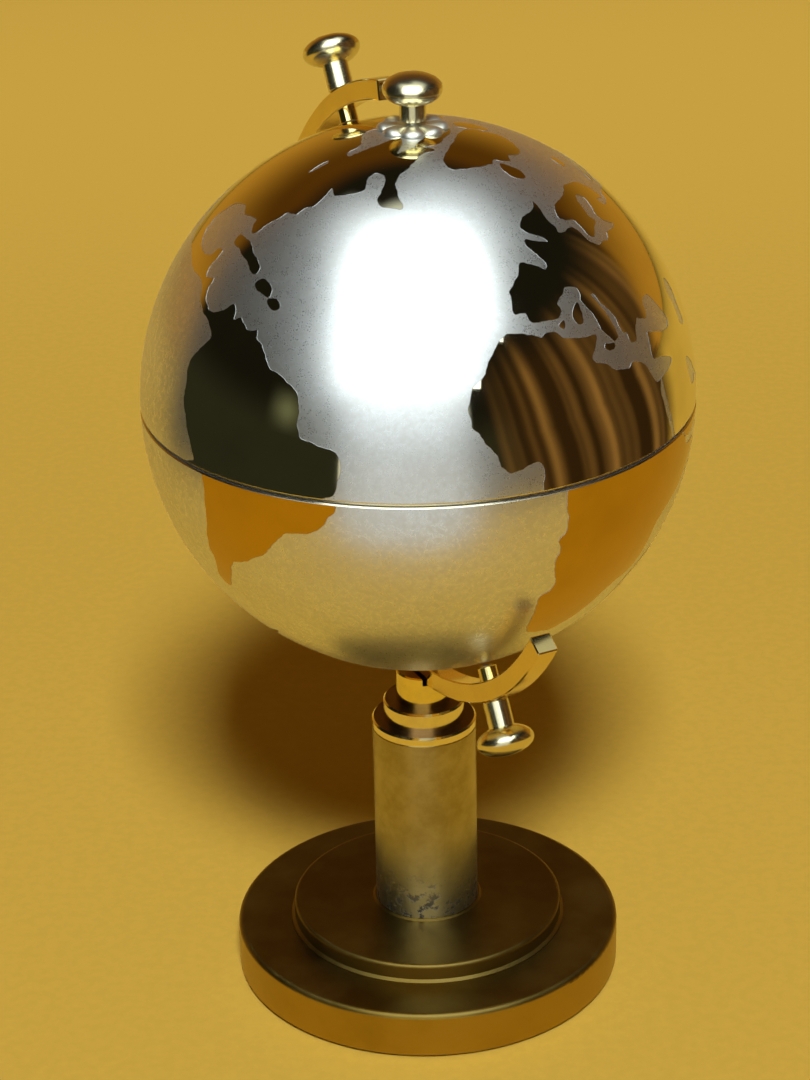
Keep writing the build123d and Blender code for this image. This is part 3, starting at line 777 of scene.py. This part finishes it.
def etched_metal(name, low, high, tone=1.0):
    """Satin ground of the map: a soft mottle, tiny pale grains and faint lathe lines."""
    material, n = new_material(name)
    at = n.object_coordinates()
    lines = n.noise(at, 1.0, 2.0, 0.5, (60.0, 60.0, 4200.0))
    mottle = n.noise(at, 900.0, 4.0, 0.62)
    frost = n.noise(at, 5200.0, 2.0, 0.5)
    cloud = n.noise(at, 110.0, 4.0, 0.6)
    bright, dull, dim = (rgb(*(tone * c for c in shade)) for shade in ETCHED_SHADES)
    color = n.mix(n.ramp(cloud, 0.30, 0.72), bright, dull)
    color = n.mix(n.ramp(mottle, 0.40, 0.70), color, dim)
    color = n.mix(n.ramp(frost, 0.62, 0.74, 0.0, 0.5 * tone), color, rgb(0.93, 0.94, 0.93))
    rough = n.math("ADD", n.ramp(frost, 0.36, 0.64, low, high), n.ramp(mottle, 0.35, 0.70, 0.0, 0.04))
    steep = n.ramp(n.math("ABSOLUTE", n.upward()), 0.28, 0.04)
    normal = n.bump(n.math("MULTIPLY", lines, steep), 0.02, 0.00003)
    finish_material(n, color, rough, normal, metallic=0.94)
    return material


def mirror_metal(name, color, low, high):
    """Polished metal with faint smears, hairline scratches and a slight waviness."""
    material, n = new_material(name)
    at = n.object_coordinates()
    smear = n.noise(at, 60.0, 3.0, 0.55)
    hair = n.noise(at, 1.0, 3.0, 0.7, (180.0, 2600.0, 900.0))
    wave = n.noise(at, 45.0, 1.0, 0.4)
    tone = tuple(c * 0.86 for c in color)
    shade = n.mix(n.ramp(smear, 0.40, 0.75), rgb(*color), rgb(*tone))
    rough = n.ramp(smear, 0.35, 0.80, low, high)
    normal = n.bump(wave, 0.10, 0.0002)
    normal = n.bump(hair, 0.05, 0.00002, normal)
    finish_material(n, shade, rough, normal)
    return material


def satin_column():
    """Brushed nickel with a vertical grain, painted yellow from just above the foot upward as a painted
    reflection of the straw cloth, with dark pits at the foot.
    """
    material, n = new_material("satin_nickel_column")
    at = n.object_coordinates()
    _, _, z = n.split(at)
    foot_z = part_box("column_tube")[0].z
    grain = n.noise(at, 1.0, 3.0, 0.6, (1500.0, 1500.0, 70.0))
    blotch = n.noise(at, 190.0, 5.0, 0.65)
    fine = n.noise(at, 800.0, 3.0, 0.6)
    foot = n.ramp(z, foot_z + 0.013, foot_z)
    pits = n.math("MULTIPLY", n.ramp(n.noise(at, 520.0, 4.0, 0.72), 0.50, 0.60), foot)
    clean = n.mix(n.ramp(blotch, 0.32, 0.72), rgb(0.56, 0.55, 0.45), rgb(0.44, 0.42, 0.31))
    # painted reflection: the straw cloth's yellow, painted on the column from just above its foot upward
    straw_reflection_tint = n.mix(n.ramp(blotch, 0.32, 0.72), rgb(0.50, 0.43, 0.22), rgb(0.38, 0.31, 0.13))
    color = n.mix(n.ramp(z, foot_z + 0.004, foot_z + 0.024), clean, straw_reflection_tint)
    color = n.mix(n.math("MULTIPLY", pits, 0.9), color, rgb(0.07, 0.06, 0.045))
    rough = n.math("ADD", n.math("MULTIPLY", fine, 0.14), 0.26)
    rough = n.math("ADD", rough, n.math("MULTIPLY", pits, 0.25))
    normal = n.bump(grain, 0.12, 0.00005)
    normal = n.bump(n.math("SUBTRACT", 1.0, pits), 0.40, 0.00014, normal)
    finish_material(n, color, rough, normal)
    return material


def bronzed(name, dark, light, side, low, high):
    """Satin bronzed metal with turning lines and cloudy stains; its side faces are painted a colour of their
    own, a painted reflection of the straw cloth.
    """
    material, n = new_material(name)
    at = n.object_coordinates()
    x, y, _ = n.split(at)
    reach = n.math("SQRT", n.math("ADD", n.math("MULTIPLY", x, x), n.math("MULTIPLY", y, y)))
    rings = n.math("SINE", n.math("MULTIPLY", reach, 9000.0))
    cloud = n.noise(at, 55.0, 5.0, 0.62)
    fine = n.noise(at, 900.0, 3.0, 0.6)
    # painted reflection: side faces take the side colour, standing for the straw cloth they reflect
    side_reflection_mask = n.math("MULTIPLY", n.ramp(n.upward(), 0.55, 0.15), n.ramp(cloud, 0.25, 0.60, 0.75, 1.0))
    base = n.mix(n.ramp(cloud, 0.32, 0.72), rgb(*dark), rgb(*light))
    base = n.mix(side_reflection_mask, base, rgb(*side))
    rough = n.ramp(cloud, 0.25, 0.80, low, high)
    rough = n.math("ADD", rough, n.math("MULTIPLY", fine, 0.06))
    normal = n.bump(rings, 0.015, 0.00002)
    normal = n.bump(fine, 0.05, 0.00003, normal)
    finish_material(n, base, rough, normal)
    return material


def turned_metal(name, color, roughness):
    """Plain turned metal for hidden fittings, with fine rings and grain."""
    material, n = new_material(name)
    at = n.object_coordinates()
    fine = n.noise(at, 1.0, 3.0, 0.6, (500.0, 500.0, 4200.0))
    shade = n.mix(n.ramp(fine, 0.3, 0.7), rgb(*color), rgb(*(c * 0.8 for c in color)))
    rough = n.math("ADD", n.math("MULTIPLY", fine, 0.12), roughness)
    finish_material(n, shade, rough, n.bump(fine, 0.1, 0.00003))
    return material


def felt():
    """Dark green felt."""
    material, n = new_material("green_felt")
    at = n.object_coordinates()
    fibres = n.noise(at, 1500.0, 4.0, 0.7)
    color = n.mix(fibres, rgb(0.016, 0.035, 0.018), rgb(0.05, 0.085, 0.05))
    finish_material(n, color, 0.95, n.bump(fibres, 0.6, 0.0002), metallic=0.0)
    return material


def metal_with_shaded_tops(name, color, top_shade_color, low, high):
    """Polished metal whose upward faces are painted dull and dark brown: painted shade, as of tops in the
    globe's shadow.
    """
    material, n = new_material(name)
    at = n.object_coordinates()
    smear = n.noise(at, 160.0, 4.0, 0.6)
    # painted shade: the upward faces are darkened and roughened as if in the globe's shadow
    up = n.ramp(n.upward(), 0.75, 0.97)
    shade = n.mix(n.ramp(smear, 0.38, 0.74), rgb(*color), rgb(*(0.82 * c for c in color)))
    shade = n.mix(up, shade, rgb(*top_shade_color))
    rough = n.math("ADD", n.ramp(smear, 0.35, 0.80, low, high), n.math("MULTIPLY", up, 0.20))
    finish_material(n, shade, rough, n.bump(smear, 0.08, 0.00008))
    return material


# ---- turned knobs and the rosette, as finer meshes on the same shapes ----

def lathe(name, profile, axis, segments=128):
    """A solid of revolution from (radius, distance) points in mm, about an axis from the globe's middle."""
    turn = Vector((0, 0, 1)).rotation_difference(axis)
    verts, rings, faces = [], [], []
    for radius, along in profile:
        if radius < 1e-9:
            rings.append([len(verts)])
            verts.append(turn @ Vector((0, 0, along)))
            continue
        rings.append(list(range(len(verts), len(verts) + segments)))
        for k in range(segments):
            a = 2 * math.pi * k / segments
            verts.append(turn @ Vector((radius * math.cos(a), radius * math.sin(a), along)))
    for low, high in zip(rings, rings[1:]):
        for k in range(segments):
            m = (k + 1) % segments
            face = (low[k % len(low)], low[m % len(low)], high[m % len(high)], high[k % len(high)])
            faces.append(tuple(dict.fromkeys(face)))
    mesh = bpy.data.meshes.new(name)
    mesh.from_pydata([CENTRE + v * MM for v in verts], [], faces)
    mesh.polygons.foreach_set("use_smooth", [True] * len(faces))
    mesh.set_sharp_from_angle(angle=math.radians(30))
    piece = bpy.data.objects.new(name, mesh)
    bpy.context.scene.collection.objects.link(piece)
    return piece


def reach_along(node, axis):
    """How far a node reaches along an axis from the globe's middle: nearest and furthest, in mm."""
    marks = [(v.co - CENTRE).dot(axis) / MM for v in frame["nodes"][node].data.vertices]
    return min(marks), max(marks)


SHANK_R, HEAD_R, DOME_H, BELLY_H = 2.35, 5.3, 2.7, 3.0
KNOB_EDGE = 0.15
BELLY_STEPS, DOME_STEPS = 24, 32
STUD_HOLE, BOSS_HOLE, ROD_HOLE = 1.27, 4.02, 1.12   # radii
STUD_DEPTH, ROD_DEPTH = 4.0, 3.6


def knob(node, body, axis, bore, depth, material):
    """Straight shank with an oval head, finely turned, with the bore for its rod."""
    foot, top = reach_along(node, axis)
    widest = top - DOME_H
    junction = math.acos(SHANK_R / HEAD_R)
    profile = [(0, foot + depth), (bore, foot + depth), (bore, foot), (SHANK_R - KNOB_EDGE, foot)]
    profile += [(SHANK_R, foot + KNOB_EDGE), (SHANK_R, foot + 1.0)]
    for i in range(BELLY_STEPS + 1):
        a = -junction + junction * i / BELLY_STEPS
        profile.append((HEAD_R * math.cos(a), widest + BELLY_H * math.sin(a)))
    for i in range(1, DOME_STEPS + 1):
        a = math.pi / 2 * i / DOME_STEPS
        profile.append((HEAD_R * math.cos(a) if i < DOME_STEPS else 0, widest + DOME_H * math.sin(a)))
    piece = lathe(node + "_turned", profile, axis)
    piece.data.materials.append(material)
    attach(piece, body)
    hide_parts(node)


ROSETTE_R, ROSETTE_T, LOBES = 6.4, 1.0, 8
ROSETTE_GAP = 0.02


def rosette(material):
    """Lobed washer on the crown of the lid, with domed petals and creases between them."""
    petal = ROSETTE_R * math.sin(math.pi / LOBES)
    middle = ROSETTE_R - petal
    hole, steps, spokes = STUD_HOLE, 26, 256
    foot = GLOBE_R + ROSETTE_GAP

    def outer_radius(angle):
        sector = (angle + math.pi / LOBES) % (2 * math.pi / LOBES) - math.pi / LOBES
        return middle * math.cos(sector) + math.sqrt(petal**2 - (middle * math.sin(sector)) ** 2)

    def height(share, angle):
        """Height of the petals, from 0 to ROSETTE_T, at a share of the way out."""
        crest = abs(math.cos(angle * LOBES / 2)) ** 0.6
        swell = math.sin(math.pi * min(1.0, max(0.0, (share - 0.30) / 0.78))) ** 0.8
        body = 0.62 - 0.30 * (1 - crest) * min(1.0, share * 1.6) + 0.38 * crest * swell
        edge = math.sqrt(max(0.0, 1 - (max(0.0, share - 0.80) / 0.20) ** 2))
        return ROSETTE_T * (0.25 + (body - 0.25) * edge)

    verts, faces = [], []
    for i in range(steps + 1):
        share = (i / steps) ** 0.8
        for k in range(spokes):
            a = 2 * math.pi * k / spokes
            r = hole + (outer_radius(a) - hole) * share
            z = math.sqrt(foot**2 - r * r) + height(share, a)
            verts.append(Vector((r * math.cos(a), r * math.sin(a), z)))
    for outward in (True, False):
        for k in range(spokes):
            a = 2 * math.pi * k / spokes
            r = outer_radius(a) if outward else hole
            verts.append(Vector((r * math.cos(a), r * math.sin(a), math.sqrt(foot**2 - r * r))))
    rows = steps + 2
    for i in range(rows + 1):
        for k in range(spokes):
            m = (k + 1) % spokes
            j = (i + 1) % (rows + 1)
            faces.append((i * spokes + k, j * spokes + k, j * spokes + m, i * spokes + m))
    mesh = bpy.data.meshes.new("lid_rosette_petals")
    mesh.from_pydata([CENTRE + v * MM for v in verts], [], faces)
    mesh.polygons.foreach_set("use_smooth", [True] * len(faces))
    mesh.set_sharp_from_angle(angle=math.radians(40))
    mesh.materials.append(material)
    piece = bpy.data.objects.new("lid_rosette_petals", mesh)
    bpy.context.scene.collection.objects.link(piece)
    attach(piece, "globe_lid")
    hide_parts("lid_rosette")


# warm tint: partly the metal's own tone, partly a painted reflection of the straw cloth
POLISHED = (0.90, 0.83, 0.56)
BRONZED = (0.17, 0.11, 0.022), (0.25, 0.175, 0.045)


def dress(material, *nodes):
    for name in nodes:
        mesh = frame["nodes"][name].data
        mesh.materials.clear()
        mesh.materials.append(material)


make_camera()
make_floor()
make_world()
make_shade()
make_card()
make_lights()

ground = etched_metal("etched_silver", 0.26, 0.35)
lands = mirror_metal("polished_lands", POLISHED, 0.03, 0.09)
# painted reflection: the bowl's lands, the same polished metal as the lid's, are painted orange for the straw
# cloth they reflect
bowl_lands_painted_reflection = mirror_metal("bowl_lands_painted_reflection", (0.62, 0.38, 0.04), 0.04, 0.11)
# painted shade: the coast steps are painted at half brightness to damp their glint
etched_side = etched_metal("etched_side", 0.42, 0.55, 0.5)
rim_metal = mirror_metal("rim_band", (0.84, 0.80, 0.66), 0.14, 0.26)
for name, body, node, up, turn, rim_band, hole, land_metal in (
    ("lid_shell", "globe_lid", "lid", 1, 0.0, 0.70, STUD_HOLE, lands),
    ("bowl_shell", "globe_bowl", "bowl", -1, BOWL_TURN, 0.35, BOSS_HOLE, bowl_lands_painted_reflection),
):
    shell = half_shell(name, up, turn, rim_band, hole)
    for material in (ground, land_metal, etched_side, rim_metal):
        shell.data.materials.append(material)
    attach(shell, body)
    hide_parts(node)

knob_metal = mirror_metal("polished_knobs", (0.82, 0.74, 0.46), 0.20, 0.33)
axes = {j["name"]: Vector(j["axis"]).normalized() for j in record["behaviour"]["joints"]}
knob("lid_knob", "globe_lid", Vector((0, 0, 1)), STUD_HOLE, STUD_DEPTH, knob_metal)
knob("upper_pin_knob", "upper_pin", axes["upper_pin_draw"], ROD_HOLE, ROD_DEPTH, knob_metal)
knob("lower_pin_knob", "lower_pin", axes["lower_pin_draw"], ROD_HOLE, ROD_DEPTH, knob_metal)
rosette(mirror_metal("satin_petals", (0.88, 0.86, 0.74), 0.40, 0.55))

dress(satin_column(), "column_tube")
# painted reflection: the side colour given to the base and the tier stands for what their sides reflect
dress(bronzed("bronzed_base", *BRONZED, (0.47, 0.31, 0.045), 0.30, 0.44), "base_disc")
dress(bronzed("bronzed_tier", *BRONZED, (0.20, 0.13, 0.03), 0.30, 0.44), "tier_disc")
# painted shade: the second colour darkens the tops of the cap and step as if in shadow
step_metal = metal_with_shaded_tops("polished_stand", (0.94, 0.84, 0.50), (0.17, 0.09, 0.03), 0.12, 0.22)
dress(step_metal, "column_cap", "step_collar")
# painted reflection: the neck's golden colour stands for the straw cloth it reflects; its dark top colour is
# painted shade under the globe
dress(metal_with_shaded_tops("polished_neck", (0.95, 0.80, 0.28), (0.28, 0.16, 0.06), 0.10, 0.20), "neck_post")
# painted reflection: the arm and collars are tinted golden for the straw cloth they reflect
arm_metal = mirror_metal("polished_arm", (0.84, 0.66, 0.26), 0.10, 0.20)
dress(arm_metal, "meridian_arm", "upper_pin_collar", "lower_pin_collar")
steel = turned_metal("turned_steel", (0.56, 0.56, 0.57), 0.28)
dress(steel, "upper_pin_rod", "lower_pin_rod", "lid_stud", "lid_washer", "lid_nut", "base_washer", "base_nut")
dress(steel, "tie_rod", "pivot_screw")
brass = turned_metal("turned_brass", (0.72, 0.54, 0.24), 0.26)
dress(brass, "column_foot_plug", "pivot_spacer", "pivot_washer", "bowl_boss", "bowl_rim_ring")
dress(felt(), "base_felt")

bpy.context.scene.view_settings.view_transform = "Standard"
